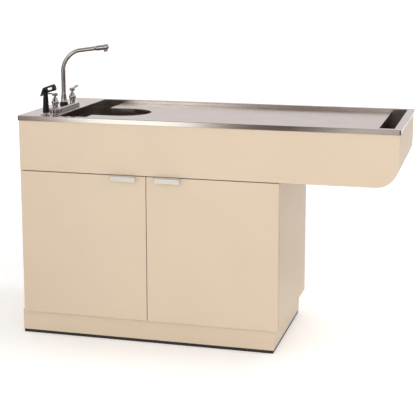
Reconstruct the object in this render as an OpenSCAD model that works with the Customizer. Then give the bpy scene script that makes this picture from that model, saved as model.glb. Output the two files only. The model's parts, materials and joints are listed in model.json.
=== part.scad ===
// Veterinary wet table: a stainless top with a sloped tub, a lift-out insert and a faucet deck,
// on a laminate apron that overhangs a two-door base cabinet to the right.
// Places are measured from the front left corner of the steel top at floor level;
// place() then moves everything to the origin at the middle of the base.

/* [Overall] */
// Length of the steel top, left to right
top_l = 1524; // [1480:2:1830]
// Depth of the steel top, front to back
top_d = 610; // [590:2:760]
// Height of the rim above the floor
top_h = 914; // [864:1:965]

/* [Steel top] */
// Gauge of the stainless sheet
sheet_t = 1.5; // [1.2:0.1:2.5]
// Height of the turned-down edge of the top
flange_h = 20; // [16:1:30]
// Width of the rim at the front, back and right
rim_w = 27; // [24:1:40]
// Width of the faucet deck at the left end
deck_w = 160; // [155:1:200]
// Outer corner radius of the top
top_r = 6; // [3:1:12]
// Depth of the tub at the drain
tub_deep = 160; // [140:1:164]
// Depth of the tub at its right end
tub_shallow = 110; // [90:1:120]
// Length of the level part of the tub floor round the drain
sump_l = 280; // [250:1:360]

/* [Insert] */
// How far the insert lies below the rim
insert_drop = 14; // [8:1:20]
// Open slot between the deck and the insert
slot_left = 85; // [60:1:110]
// Open slot between the insert and the right rim
slot_right = 67; // [40:1:90]
// Play between the insert and the tub walls
insert_play = 2; // [1:0.5:3]
// Depth of the insert's turned-down edge
skirt_h = 18; // [15:1:22]
// Width of the insert's U-shaped notch
notch_w = 230; // [180:1:260]
// Length of the notch along the table
notch_l = 216; // [190:1:260]
// Width of the stiffening channels under the insert
channel_w = 40; // [30:1:50]
// Width of the ledges that carry the insert
ledge_w = 14; // [10:1:18]

/* [Apron] */
// Height of the apron below the steel edge
apron_h = 202; // [195:1:230]
// How far the apron stands in from the steel edge
apron_set = 4; // [3:0.5:8]
// Radius of the apron's lower right corner
apron_r = 86; // [60:1:100]
// Height of the cross braces in the apron
brace_h = 46; // [30:1:48]

/* [Cabinet] */
// Length of the cabinet over its side panels
cab_l = 1067; // [1000:1:1100]
// Thickness of the laminate boards
board_t = 18; // [16:1:19]
// Thickness of the doors
door_t = 19; // [18:1:22]
// Gap between the two doors
door_gap = 3; // [2:0.5:4]
// Gap between the door tops and the apron
seam = 3.5; // [3.5:0.5:6]
// How far a door stands in from the side of the cabinet
door_reveal = 1; // [0.5:0.5:3]
// Gap between a closed door and the cabinet front
door_play = 2; // [1.6:0.1:3]
// Thickness of the back panel
back_t = 6; // [4:1:9]
// How far the back panel stands in from the back edges
back_set = 30; // [24:1:40]
// Width of the flat rails across the top of the cabinet
rail_w = 80; // [60:1:100]
// Height of the shelf above the cabinet floor
shelf_up = 216; // [150:1:250]
// Width and height of the cleats under the shelf
cleat = 18; // [16:1:24]

/* [Plinth] */
// Height of the plinth with its black strip
plinth_h = 98; // [85:1:120]
// Height of the black strip
strip_h = 13; // [8:1:20]
// How far the strip stands in from the plinth boards
strip_set = 2; // [1:0.5:4]
// How far the plinth stands in behind the door fronts
plinth_front_set = 21; // [16:1:60]
// How far the plinth stands in from the back edges
plinth_back_set = 31; // [10:1:60]
// How far the plinth stands in from the right side
plinth_right_set = 19; // [10:1:40]
// How far the plinth stands out at the left side
plinth_left_out = 14; // [5:1:16]

/* [Door pulls] */
// Length of a tab pull
pull_l = 102; // [80:1:140]
// Height of the pull's lip
pull_h = 22; // [18:1:30]
// How far the lip stands out from the door
pull_out = 18; // [15:1:24]
// Distance from a door's free edge to its pull
pull_edge = 39; // [25:1:80]
// Thickness of the pull's strip
pull_t = 2; // [1.5:0.1:2.2]
// Bend radius of the pull, outside
pull_r = 6; // [4:0.5:8]

/* [Hinges] */
// Radius of a hinge cup
cup_r = 17.5; // [16:0.5:20]
// Depth of a hinge cup
cup_deep = 11.5; // [10:0.5:12.5]
// Distance from the door edge to a cup's centre
cup_edge = 22; // [21:0.5:24]
// Distance from the ends of the door to a cup's centre
cup_end = 95; // [80:1:130]
// Play round a cup in its bore
cup_play = 0.2; // [0.1:0.05:0.4]

/* [Drain] */
// Distance from the tub's left wall to the drain
drain_in = 140; // [110:1:150]
// Radius of the hole in the tub floor
drain_hole_r = 45; // [44:0.5:48]
// Outer radius of the strainer flange
strainer_r = 57; // [55:0.5:60]
// Outer radius of the strainer cup
cup_out_r = 44; // [42:0.5:43.5]
// Depth of the strainer cup
strainer_deep = 46; // [40:1:60]
// Outer radius of the tailpiece
tail_r = 19; // [16:0.5:20]
// Length of the tailpiece
tail_l = 110; // [90:1:140]
// Outer radius of the trap tube
trap_r = 20; // [18:0.5:22]
// Bend radius of the trap
trap_bend_r = 42; // [36:1:50]
// Wall of the drain tubes
tube_t = 2; // [1.5:0.1:2.5]

/* [Faucet] */
// Distance from the left edge to the row of holes in the deck
faucet_x = 102; // [92:1:106]
// Distance from the front edge to the spout
faucet_y = 246; // [235:1:300]
// Distance between the two handles
handle_pitch = 190; // [180:1:205]
// Height of the faucet's base plate
plate_h = 18; // [14:1:24]
// Half width of the base plate
plate_r = 30; // [24:1:34]
// Radius of the shanks that pass through the deck
shank_r = 12; // [11:0.5:13]
// Radius of the threaded inlets below the shanks
inlet_r = 10.5; // [9:0.5:10.5]
// Length of the threaded inlets
inlet_l = 38; // [30:1:45]
// Outer radius of the spout tube
spout_r = 9; // [7:0.5:10]
// Height of the bend's start above the deck
spout_rise = 156; // [140:1:220]
// Bend radius of the spout, along its middle
spout_bend_r = 90; // [60:1:100]
// Upward slope of the spout's arm, in degrees
spout_slope = 8; // [0:1:15]
// Length of the straight arm
spout_arm = 65; // [40:1:90]
// Length of a lever from its axis
lever_l = 62; // [50:1:70]

/* [Side sprayer] */
// Distance from the front edge to the sprayer
sprayer_y = 55; // [50:1:58]
// Radius of the holder's flange
holder_r = 23.5; // [19:0.5:24]
// Radius of the sprayer's handle at its foot
grip_r = 13; // [12:0.5:14]
// Radius of the sprayer's handle under its head
grip_top_r = 9.5; // [8:0.5:10]
// Height of the head's middle above the deck
head_up = 99; // [95:1:110]
// Length of the head from the handle's axis
head_l = 41; // [36:1:50]
// Upward slope of the head, in degrees
head_slope = 17; // [5:1:20]

/* [Hidden] */
$fn = 96;
// Face-to-face clearance of round pieces that move in each other
run = 0.3;
// Overshoot of a cut past the face it opens
cut = 1;

// Steel top and tub
deck_z = top_h - sheet_t;
tub_x0 = deck_w;
tub_x1 = top_l - rim_w;
tub_y0 = rim_w;
tub_y1 = top_d - rim_w;
floor_z = top_h - tub_deep;
shallow_z = top_h - tub_shallow;
mid_y = top_d / 2;
sump_x = tub_x0 + sump_l;

// Insert
ins_z = top_h - insert_drop;
ins_x0 = tub_x0 + slot_left;
ins_x1 = tub_x1 - slot_right;
ins_y0 = tub_y0 + insert_play;
ins_y1 = tub_y1 - insert_play;
ledge_z = ins_z - skirt_h;

// Apron box
ap_x0 = apron_set;
ap_x1 = top_l - apron_set;
ap_y0 = apron_set;
ap_y1 = top_d - apron_set;
ap_z = top_h - flange_h - apron_h;

// Cabinet
cab_x0 = ap_x0;
cab_x1 = ap_x0 + cab_l;
in_x0 = cab_x0 + board_t;
in_x1 = cab_x1 - board_t;
door_y0 = ap_y0;
door_y1 = door_y0 + door_t;
cab_y0 = door_y1 + door_play;
cab_y1 = ap_y1;
back_y0 = cab_y1 - back_set - back_t;
door_z0 = plinth_h + door_reveal;
door_z1 = ap_z - seam;
door_mid = (cab_x0 + cab_x1) / 2;
left_door_x0 = cab_x0 + door_reveal;
left_door_x1 = door_mid - door_gap / 2;
right_door_x0 = door_mid + door_gap / 2;
right_door_x1 = cab_x1 - door_reveal;
shelf_z = plinth_h + board_t + shelf_up;

// Plinth
pl_x0 = cab_x0 - plinth_left_out;
pl_x1 = cab_x1 - plinth_right_set;
pl_y0 = ap_y0 + plinth_front_set;
pl_y1 = ap_y1 - plinth_back_set;

// Drain
drain_x = tub_x0 + drain_in;
drain_y = mid_y;
spigot_l = 24;
tail_z1 = floor_z - strainer_deep - spigot_l;
tail_z0 = tail_z1 - tail_l;
trap_up = 16;
trap_leg = 14;
arm_z = tail_z0 + trap_up + trap_bend_r;

// Faucet and sprayer
plate_z = top_h + plate_h;
hot_y = faucet_y - handle_pitch / 2;
cold_y = faucet_y + handle_pitch / 2;
bell_r = 15.5;
bell_h = 40;
stem_r = 5;
stem_top = 46;
ring_h = 9;
nozzle_l = 60;
nozzle_r = 12;
nose_r = 11.7;
sleeve_r = nose_r + 2.3;
collar_h = 8;
head_r = 12.5;
lever_w = 13.4;
pivot_x = -6;
pivot_up = 6;

// Middle of the whole object, where the origin lies
origin_x = (pl_x0 + top_l) / 2;
origin_y = (door_y0 - pull_out + top_d) / 2;

beige = [0.88, 0.82, 0.71];
steel = [0.78, 0.78, 0.79];
chrome = [0.85, 0.85, 0.87];
black = [0.09, 0.09, 0.1];
white = [0.93, 0.93, 0.93];

// Moves a piece from the front left corner to the origin
module place() {
    translate([-origin_x, -origin_y, 0]) children();
}

// Box from its low corner to its high corner
module box(low, high) {
    translate(low) cube(high - low);
}

// Flat rectangle with round corners
module round_rect(x0, y0, x1, y1, r) {
    translate([x0 + r, y0]) square([x1 - x0 - 2 * r, y1 - y0]);
    translate([x0, y0 + r]) square([x1 - x0, y1 - y0 - 2 * r]);
    for (x = [x0 + r, x1 - r], y = [y0 + r, y1 - r]) translate([x, y]) circle(r);
}

// Extrudes an outline drawn in X and Z from y0 to y1
module along_y(y0, y1) {
    translate([0, y1, 0]) rotate([90, 0, 0]) linear_extrude(y1 - y0) children();
}

// Extrudes an outline drawn in Y and Z from x0 to x1
module along_x(x0, x1) {
    translate([x0, 0, 0]) rotate([90, 0, 90]) linear_extrude(x1 - x0) children();
}

// Board of the cabinet
module board(low, high) {
    color(beige) place() box(low, high);
}

module side_left() {
    board([cab_x0, cab_y0, plinth_h], [in_x0, cab_y1, ap_z]);
}

module side_right() {
    board([in_x1, cab_y0, plinth_h], [cab_x1, cab_y1, ap_z]);
}

module cabinet_floor() {
    board([in_x0, cab_y0, plinth_h], [in_x1, cab_y1, plinth_h + board_t]);
}

module cabinet_back() {
    color(beige) place() difference() {
        box([in_x0, back_y0, plinth_h + board_t], [in_x1, back_y0 + back_t, ap_z]);
        translate([drain_x, back_y0 - cut, arm_z]) rotate([-90, 0, 0])
            cylinder(r = trap_r + run, h = back_t + 2 * cut);
    }
}

module rail_front() {
    board([in_x0, cab_y0, ap_z - board_t], [in_x1, cab_y0 + rail_w, ap_z]);
}

module rail_back() {
    board([in_x0, back_y0 - rail_w, ap_z - board_t], [in_x1, back_y0, ap_z]);
}

shelf_play = 1;
shelf_front_set = 35;

module shelf() {
    board([in_x0 + shelf_play, cab_y0 + shelf_front_set, shelf_z],
        [in_x1 - shelf_play, back_y0, shelf_z + board_t]);
}

module shelf_cleats() {
    y0 = cab_y0 + 2 * shelf_front_set;
    board([in_x0, y0, shelf_z - cleat], [in_x0 + cleat, back_y0, shelf_z]);
    board([in_x1 - cleat, y0, shelf_z - cleat], [in_x1, back_y0, shelf_z]);
}

module plinth_front() {
    board([pl_x0, pl_y0, strip_h], [pl_x1, pl_y0 + board_t, plinth_h]);
}

module plinth_back() {
    board([pl_x0, pl_y1 - board_t, strip_h], [pl_x1, pl_y1, plinth_h]);
}

module plinth_end_left() {
    board([pl_x0, pl_y0 + board_t, strip_h], [pl_x0 + board_t, pl_y1 - board_t, plinth_h]);
}

module plinth_end_right() {
    board([pl_x1 - board_t, pl_y0 + board_t, strip_h], [pl_x1, pl_y1 - board_t, plinth_h]);
}

// Black strips under the plinth boards, with an open joint in the front one
strip_w = board_t - 2 * strip_set;
strip_joint = 1.5;
strip_x0 = pl_x0 + strip_set;
strip_x1 = pl_x1 - strip_set;
strip_y0 = pl_y0 + strip_set;
strip_y1 = pl_y1 - strip_set;

module strip(low, high) {
    color(black) place() box([low[0], low[1], 0], [high[0], high[1], strip_h]);
}

module strips_front() {
    strip([strip_x0, strip_y0], [door_mid - strip_joint / 2, strip_y0 + strip_w]);
    strip([door_mid + strip_joint / 2, strip_y0], [strip_x1, strip_y0 + strip_w]);
}

module strip_back() {
    strip([strip_x0, strip_y1 - strip_w], [strip_x1, strip_y1]);
}

module strips_end() {
    for (x = [strip_x0, strip_x1 - strip_w])
        strip([x, strip_y0 + strip_w], [x + strip_w, strip_y1 - strip_w]);
}

// Heights of the two hinges of a door
hinge_z = [door_z0 + cup_end, door_z1 - cup_end];
left_cup_x = left_door_x0 + cup_edge;
right_cup_x = right_door_x1 - cup_edge;

// Door slab with bores for its hinge cups
module door(x0, x1, cup_x) {
    color(beige) place() difference() {
        box([x0, door_y0, door_z0], [x1, door_y1, door_z1]);
        for (z = hinge_z) translate([cup_x, door_y1 - cup_deep - cup_play, z])
            rotate([-90, 0, 0]) cylinder(r = cup_r + cup_play, h = cup_deep + cup_play + cut);
    }
}

module left_door() {
    door(left_door_x0, left_door_x1, left_cup_x);
}

module right_door() {
    door(right_door_x0, right_door_x1, right_cup_x);
}

// Bent strip that lies on the door's top edge and hangs down in front as a lip
module pull(x0) {
    y0 = door_y0 - pull_out;
    z1 = door_z1 + pull_t;
    color(steel) place() along_x(x0, x0 + pull_l) {
        translate([y0 + pull_r, door_z1]) square([door_y1 - y0 - pull_r, pull_t]);
        translate([y0, z1 - pull_h]) square([pull_t, pull_h - pull_r]);
        translate([y0 + pull_r, z1 - pull_r]) intersection() {
            difference() {
                circle(pull_r);
                circle(pull_r - pull_t);
            }
            translate([-pull_r, 0]) square(pull_r);
        }
        translate([y0 + pull_t / 2, z1 - pull_h]) circle(pull_t / 2);
    }
}

module left_pull() {
    pull(left_door_x1 - pull_edge - pull_l);
}

module right_pull() {
    pull(right_door_x0 + pull_edge);
}

// Hinge cup sunk in the door, with the flange that is screwed to it
cup_flange_t = 1.2;
cup_flange_l = 62;
cup_flange_in = 6;
cup_wall = 1.2;

module hinge_cups(cup_x, side) {
    flange_x0 = side > 0 ? cup_x - cup_flange_in : cup_x - cup_r;
    color(steel) place() for (z = hinge_z) difference() {
        union() {
            translate([cup_x, door_y1 - cup_deep, z]) rotate([-90, 0, 0])
                cylinder(r = cup_r, h = cup_deep);
            box([flange_x0, door_y1, z - cup_flange_l / 2], [flange_x0 + cup_r + cup_flange_in,
                door_y1 + cup_flange_t, z + cup_flange_l / 2]);
        }
        translate([cup_x, door_y1 - cup_deep + cup_wall, z]) rotate([-90, 0, 0])
            cylinder(r = cup_r - cup_wall, h = cup_deep + cup_flange_t);
    }
}

module left_hinge_cups() {
    hinge_cups(left_cup_x, 1);
}

module right_hinge_cups() {
    hinge_cups(right_cup_x, -1);
}

// Hinge arm with the mounting plate that is screwed inside the side panel. The arm's link
// reaches into the cup, whose middle lies link_x from the side panel's face.
plate_back = 37;
plate_size = [2, 24, 44];
foot_out = 7;
foot_h = 16;
arm_l = 74;
arm_out = 14;
arm_h = 12;
arm_bend = 14;
link_x = door_reveal + cup_edge - board_t;
link_t = 6;
link_in = 7;

module hinge_arm(z) {
    y0 = cab_y0;
    plate_y = y0 + plate_back - plate_size[1] / 2;
    box([0, plate_y, z - plate_size[2] / 2],
        [plate_size[0], plate_y + plate_size[1], z + plate_size[2] / 2]);
    box([plate_size[0], y0 + arm_bend, z - foot_h / 2],
        [foot_out, y0 + arm_l - link_t, z + foot_h / 2]);
    translate([0, 0, z - arm_h / 2]) linear_extrude(arm_h) polygon([[foot_out, y0 + arm_l],
        [arm_out, y0 + arm_l], [arm_out, y0 + link_t], [link_x + link_t / 2, y0],
        [link_x + link_t / 2, door_y1 - link_in], [link_x - link_t / 2, door_y1 - link_in],
        [link_x - link_t / 2, y0 + arm_bend], [foot_out, y0 + arm_bend + link_t]]);
}

module left_hinge_arms() {
    color(steel) place() for (z = hinge_z) translate([in_x0, 0, 0]) hinge_arm(z);
}

module right_hinge_arms() {
    color(steel) place() for (z = hinge_z) translate([in_x1, 0, 0]) mirror([1, 0, 0])
        hinge_arm(z);
}

// Magnetic catches screwed under the front rail, one for each door
catch_size = [44, 15, 12];
catch_edge = 30;

module door_catches() {
    z1 = ap_z - board_t;
    color(white) place() for (x = [door_mid - catch_edge - catch_size[0], door_mid + catch_edge])
        box([x, cab_y0, z1 - catch_size[2]], [x + catch_size[0], cab_y0 + catch_size[1], z1]);
}

// Side view of the apron, with its large lower right corner
module apron_outline(inset) {
    r = apron_r - inset;
    x0 = ap_x0 + inset;
    x1 = ap_x1 - inset;
    z0 = ap_z + inset;
    translate([x0, z0]) square([x1 - r - x0, deck_z - z0]);
    translate([x1 - r - cut, z0 + r]) square([r + cut, deck_z - z0 - r]);
    translate([x1 - r, z0 + r]) circle(r);
}

module apron_front() {
    color(beige) place() along_y(ap_y0, ap_y0 + board_t) apron_outline(0);
}

module apron_back() {
    color(beige) place() along_y(ap_y1 - board_t, ap_y1) apron_outline(0);
}

module apron_left() {
    board([ap_x0, ap_y0 + board_t, ap_z], [ap_x0 + board_t, ap_y1 - board_t, deck_z]);
}

// Right end board, bent round the lower corner
module apron_end() {
    color(beige) place() along_y(ap_y0 + board_t, ap_y1 - board_t) intersection() {
        difference() {
            apron_outline(0);
            apron_outline(board_t);
            translate([ap_x0, ap_z + board_t]) square([ap_x1 - apron_r - ap_x0, top_h]);
        }
        translate([ap_x1 - apron_r, ap_z]) square([apron_r, deck_z - ap_z]);
    }
}

module apron_bottom() {
    board([in_x1, ap_y0 + board_t, ap_z], [ap_x1 - apron_r, ap_y1 - board_t, ap_z + board_t]);
}

brace_overhang_in = 230;

module brace_cabinet() {
    board([door_mid - board_t / 2, ap_y0 + board_t, ap_z],
        [door_mid + board_t / 2, ap_y1 - board_t, ap_z + brace_h]);
}

module brace_overhang() {
    x = ap_x1 - brace_overhang_in;
    board([x - board_t / 2, ap_y0 + board_t, ap_z + board_t],
        [x + board_t / 2, ap_y1 - board_t, ap_z + board_t + brace_h]);
}

shank_hole_r = shank_r + 2.5;
holder_hole_r = sleeve_r + 0.4;

// Rim, faucet deck and turned-down edge
module top_rim() {
    color(steel) place() difference() {
        union() {
            translate([0, 0, deck_z]) linear_extrude(sheet_t) difference() {
                round_rect(0, 0, top_l, top_d, top_r);
                translate([tub_x0, tub_y0]) square([tub_x1 - tub_x0, tub_y1 - tub_y0]);
            }
            translate([0, 0, top_h - flange_h]) linear_extrude(flange_h) difference() {
                round_rect(0, 0, top_l, top_d, top_r);
                round_rect(sheet_t, sheet_t, top_l - sheet_t, top_d - sheet_t,
                    top_r - sheet_t);
            }
        }
        for (y = [hot_y, cold_y]) translate([faucet_x, y, deck_z - cut])
            cylinder(r = shank_hole_r, h = sheet_t + 2 * cut);
        translate([faucet_x, sprayer_y, deck_z - cut])
            cylinder(r = holder_hole_r, h = sheet_t + 2 * cut);
    }
}

// Long wall of the tub: its lower edge is level round the drain, then rises to the right
module tub_long_wall(y0) {
    fall = (shallow_z - floor_z) / (tub_x1 - sump_x);
    along_y(y0, y0 + sheet_t) polygon([[tub_x0 - sheet_t, deck_z],
        [tub_x0 - sheet_t, floor_z - sheet_t], [sump_x, floor_z - sheet_t],
        [tub_x1 + sheet_t, shallow_z - sheet_t + fall * sheet_t], [tub_x1 + sheet_t, deck_z]]);
}

// The walls are welded square at the corners: the long ones run past the ends
module tub_sides() {
    color(steel) place() {
        tub_long_wall(tub_y0 - sheet_t);
        tub_long_wall(tub_y1);
    }
}

module tub_ends() {
    color(steel) place() {
        box([tub_x0 - sheet_t, tub_y0, floor_z - sheet_t], [tub_x0, tub_y1, deck_z]);
        box([tub_x1, tub_y0, shallow_z - sheet_t], [tub_x1 + sheet_t, tub_y1, deck_z]);
    }
}

// Level floor of the tub round the drain
module tub_sump() {
    color(steel) place() difference() {
        box([tub_x0, tub_y0, floor_z - sheet_t], [sump_x, tub_y1, floor_z]);
        translate([drain_x, drain_y, floor_z - 2 * sheet_t])
            cylinder(r = drain_hole_r, h = 3 * sheet_t);
    }
}

// Floor that falls to the sump
module tub_slope() {
    color(steel) place() along_y(tub_y0, tub_y1) polygon([[sump_x, floor_z - sheet_t],
        [tub_x1, shallow_z - sheet_t], [tub_x1, shallow_z], [sump_x, floor_z]]);
}

// Angle ledges on the front and back walls, which the insert rests on
ledge_in = 12;
ledge_drop = 16;

module ledge() {
    along_x(ins_x0 + ledge_in, ins_x1 - ledge_in) polygon([[0, ledge_z], [ledge_w, ledge_z],
        [ledge_w, ledge_z - sheet_t], [sheet_t, ledge_z - sheet_t], [sheet_t, ledge_z - ledge_drop],
        [0, ledge_z - ledge_drop]]);
}

module insert_ledges() {
    color(steel) place() {
        translate([0, tub_y0, 0]) ledge();
        translate([0, tub_y1, 0]) mirror([0, 1, 0]) ledge();
    }
}

// Outline of the insert with its notch, shrunk by the given inset
insert_r = 12;
module insert_outline(inset) {
    nr = notch_w / 2;
    difference() {
        round_rect(ins_x0 + inset, ins_y0 + inset, ins_x1 - inset, ins_y1 - inset,
            insert_r - inset);
        translate([ins_x0 - cut, mid_y - nr - inset])
            square([notch_l - nr + cut, 2 * (nr + inset)]);
        translate([ins_x0 + notch_l - nr, mid_y]) circle(nr + inset);
    }
}

module insert_pan() {
    color(steel) place() union() {
        translate([0, 0, ins_z - sheet_t]) linear_extrude(sheet_t) insert_outline(0);
        translate([0, 0, ins_z - skirt_h]) linear_extrude(skirt_h) difference() {
            insert_outline(0);
            insert_outline(sheet_t);
        }
    }
}

// Stiffening channel under the insert, open towards it
channel_in = 40;
channel_side = 92;
channel_h = 14;

module channel(y) {
    z1 = ins_z - sheet_t;
    color(steel) place() difference() {
        box([ins_x0 + channel_in, y - channel_w / 2, z1 - channel_h],
            [ins_x1 - channel_in, y + channel_w / 2, z1]);
        box([ins_x0, y - channel_w / 2 + sheet_t, z1 - channel_h + sheet_t],
            [ins_x1, y + channel_w / 2 - sheet_t, z1 + cut]);
    }
}

module channel_front() {
    channel(tub_y0 + channel_side);
}

module channel_back() {
    channel(tub_y1 - channel_side);
}

// Basket strainer: flange on the tub floor, stepped cup and threaded spigot
strainer_flange_t = 1.8;
cup_step_r = cup_out_r - 5;
cup_step_z = 7;

module strainer_body() {
    t = tube_t;
    color(chrome) place() translate([drain_x, drain_y, floor_z]) rotate_extrude() polygon([
        [cup_out_r - t, strainer_flange_t], [strainer_r - 3, strainer_flange_t],
        [strainer_r, 0], [cup_out_r, 0], [cup_out_r, -strainer_deep], [tail_r, -strainer_deep],
        [tail_r, -strainer_deep - spigot_l], [tail_r - t, -strainer_deep - spigot_l],
        [tail_r - t, -strainer_deep + t], [cup_step_r, -strainer_deep + t],
        [cup_step_r, -cup_step_z], [cup_out_r - t, -cup_step_z]]);
}

nut_h = 10;

module strainer_nut() {
    color(chrome) place() translate([drain_x, drain_y, floor_z - sheet_t - nut_h]) difference() {
        cylinder(r = strainer_r, h = nut_h);
        translate([0, 0, -cut]) cylinder(r = cup_out_r + run, h = nut_h + 2 * cut);
        for (a = [0:45:315]) rotate(a) translate([strainer_r, 0, -cut])
            cylinder(r = 5, h = nut_h + 2 * cut);
    }
}

// Lift-out basket with its seat flange, drain holes and lifting post
basket_wall = 1.2;
basket_deep = 30;
basket_holes = 10;

module strainer_basket() {
    r = cup_step_r - 2;
    color(steel) place() translate([drain_x, drain_y, floor_z - cup_step_z]) {
        difference() {
            union() {
                cylinder(r = cup_out_r - tube_t - run, h = basket_wall);
                translate([0, 0, -basket_deep]) cylinder(r = r, h = basket_deep);
            }
            translate([0, 0, basket_wall - basket_deep])
                cylinder(r = r - basket_wall, h = basket_deep + 2 * cut);
            for (i = [0:basket_holes - 1]) rotate(i * 360 / basket_holes) {
                translate([r * 0.66, 0, -basket_deep - cut])
                    cylinder(r = 3, h = basket_wall + 2 * cut);
                translate([r - 4, 0, -basket_deep / 2]) rotate([0, 90, 0]) cylinder(r = 3, h = 8);
            }
        }
        translate([0, 0, -basket_deep]) cylinder(r = 3.5, h = basket_deep - 4);
        translate([0, 0, -7]) cylinder(r = 10, h = 6);
    }
}

module tailpiece() {
    color(chrome) place() translate([drain_x, drain_y, tail_z0]) difference() {
        cylinder(r = tail_r, h = tail_l);
        translate([0, 0, -cut]) cylinder(r = tail_r - tube_t, h = tail_l + 2 * cut);
    }
}

// Middle line of the trap as a solid of the given radius: inlet leg inside the nut, U-bend,
// riser, elbow and the arm to the back
module trap_run(r, over) {
    bend_z = tail_z0 - trap_leg;
    arm_y0 = drain_y + 3 * trap_bend_r;
    translate([drain_x, drain_y, bend_z]) cylinder(r = r, h = trap_leg + over);
    translate([drain_x, drain_y + trap_bend_r, bend_z]) rotate([90, 0, 90]) rotate([0, 0, 180])
        rotate_extrude(angle = 180) translate([trap_bend_r, 0]) circle(r);
    translate([drain_x, drain_y + 2 * trap_bend_r, bend_z])
        cylinder(r = r, h = trap_leg + trap_up);
    translate([drain_x, arm_y0, tail_z0 + trap_up]) rotate([90, 0, 90]) rotate([0, 0, 90])
        rotate_extrude(angle = 90) translate([trap_bend_r, 0]) circle(r);
    translate([drain_x, arm_y0, arm_z]) rotate([-90, 0, 0])
        cylinder(r = r, h = cab_y1 - arm_y0 + over);
}

// Round plate on the trap's arm that covers the hole in the back panel
cover_plate_r = trap_r + 11;
cover_plate_t = 3;

module trap() {
    color(chrome) place() difference() {
        union() {
            trap_run(trap_r, 0);
            translate([drain_x, back_y0 + back_t, arm_z]) rotate([-90, 0, 0])
                cylinder(r = cover_plate_r, h = cover_plate_t);
        }
        trap_run(trap_r - tube_t, cut);
    }
}

// Slip nuts at both ends of the tailpiece
slip_h = 20;
slip_wall = 8;

module slip_nut(z, bore) {
    translate([drain_x, drain_y, z - slip_h / 2]) difference() {
        cylinder(r = bore + slip_wall, h = slip_h, $fn = 8);
        translate([0, 0, -cut]) cylinder(r = bore + run, h = slip_h + 2 * cut);
    }
}

module waste_nuts() {
    color(white) place() {
        slip_nut(tail_z0, max(tail_r, trap_r));
        slip_nut(tail_z1, tail_r);
    }
}

// Half section of the base plate with its rounded shoulder
shoulder_r = 6;

module plate_half() {
    square([plate_r, plate_h - shoulder_r]);
    square([plate_r - shoulder_r, plate_h]);
    translate([plate_r - shoulder_r, plate_h - shoulder_r]) circle(shoulder_r);
}

module faucet_plate() {
    half = handle_pitch / 2;
    color(chrome) place() translate([faucet_x, faucet_y, top_h]) difference() {
        union() {
            for (s = [-1, 1]) translate([0, s * half, 0]) rotate_extrude()
                intersection() {
                    plate_half();
                    square([plate_r, plate_h]);
                }
            along_y(-half, half) {
                plate_half();
                mirror([1, 0]) plate_half();
            }
        }
        for (s = [-1, 1]) translate([0, s * half, -cut])
            cylinder(r = shank_r + run, h = plate_h + 2 * cut);
    }
}

// Bell-shaped valve body with its stem above, and its shank and threaded inlet below
bell_mid = 20;
bell_foot_r = bell_r - 4;
bell_foot_h = 8;
shank_past = 2;
inlet_wall = 3.5;

module valve(y) {
    shank_l = plate_h + sheet_t + nut_h + shank_past;
    color(chrome) place() translate([faucet_x, y, plate_z]) {
        rotate_extrude() intersection() {
            union() {
                translate([0, bell_mid]) circle(bell_r);
                square([bell_foot_r, bell_foot_h]);
                polygon([[0, bell_mid + 4], [bell_r - 1.5, bell_mid + 6], [stem_r + 3, bell_h],
                    [0, bell_h]]);
            }
            square([bell_r, bell_h]);
        }
        translate([0, 0, bell_h]) cylinder(r = stem_r, h = stem_top - bell_h);
        translate([0, 0, -shank_l]) cylinder(r = shank_r, h = shank_l);
        translate([0, 0, -shank_l - inlet_l]) difference() {
            cylinder(r = inlet_r, h = inlet_l);
            translate([0, 0, -cut]) cylinder(r = inlet_r - inlet_wall, h = inlet_l);
        }
    }
}

module hot_valve() {
    valve(hot_y);
}

module cold_valve() {
    valve(cold_y);
}

// Hub and flat lever that turn on a valve's stem
hub_r = 12;
hub_h = 14;
lever_t = 7;
lever_rise = 9;
lever_foot = 4;
lever_neck_r = 7;
lever_end_r = 8;

module handle(y, turn) {
    color(chrome) place() translate([faucet_x, y, plate_z + stem_top]) {
        rotate_extrude() polygon([[0, 0], [hub_r - 2, 0], [hub_r, 3], [hub_r, hub_h - 4],
            [hub_r - 3, hub_h - 0.8], [0, hub_h]]);
        rotate(turn) translate([0, 0, lever_foot]) rotate([0, -lever_rise, 0])
            linear_extrude(lever_t) hull() {
                translate([hub_r - 3, 0]) circle(lever_neck_r, $fn = 32);
                translate([lever_l - lever_end_r, 0]) circle(lever_end_r, $fn = 32);
            }
    }
}

module hot_handle() {
    handle(hot_y, -90);
}

module cold_handle() {
    handle(cold_y, 90);
}

// Dark ring that the spout turns in
spout_ring_r = 17.5;
ring_floor = 2;

module spout_ring() {
    color(black) place() translate([faucet_x, faucet_y, plate_z]) difference() {
        cylinder(r = spout_ring_r, h = ring_h);
        translate([0, 0, ring_floor]) cylinder(r = spout_r + run, h = ring_h);
    }
}

// Frame of the spout's bend: Z is the bend's axis and X points to where the arm leaves it
module at_bend() {
    translate([faucet_x + spout_bend_r, faucet_y, top_h + spout_rise]) rotate([90, 0, 0])
        rotate([0, 0, 90 + spout_slope]) children();
}

// The tube draws in by this much in its bend
draw_in = 0.1;

// Middle line of the spout: riser, bend and sloping arm, whose ends lap over the bend's. A bore
// runs over the ends
module spout_run(r, over) {
    z0 = plate_z + ring_floor - over;
    lap = 4 * draw_in;
    translate([faucet_x, faucet_y, z0]) cylinder(r = r, h = top_h + spout_rise - z0 + lap);
    at_bend() {
        rotate_extrude(angle = 90 - spout_slope) translate([spout_bend_r, 0]) circle(r - draw_in);
        translate([spout_bend_r, lap, 0]) rotate([90, 0, 0])
            cylinder(r = r, h = spout_arm + lap + over);
    }
}

cone_h = 39;
cone_r = 13.5;
cone_foot = 4;
spout_wall = 1.4;

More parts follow.
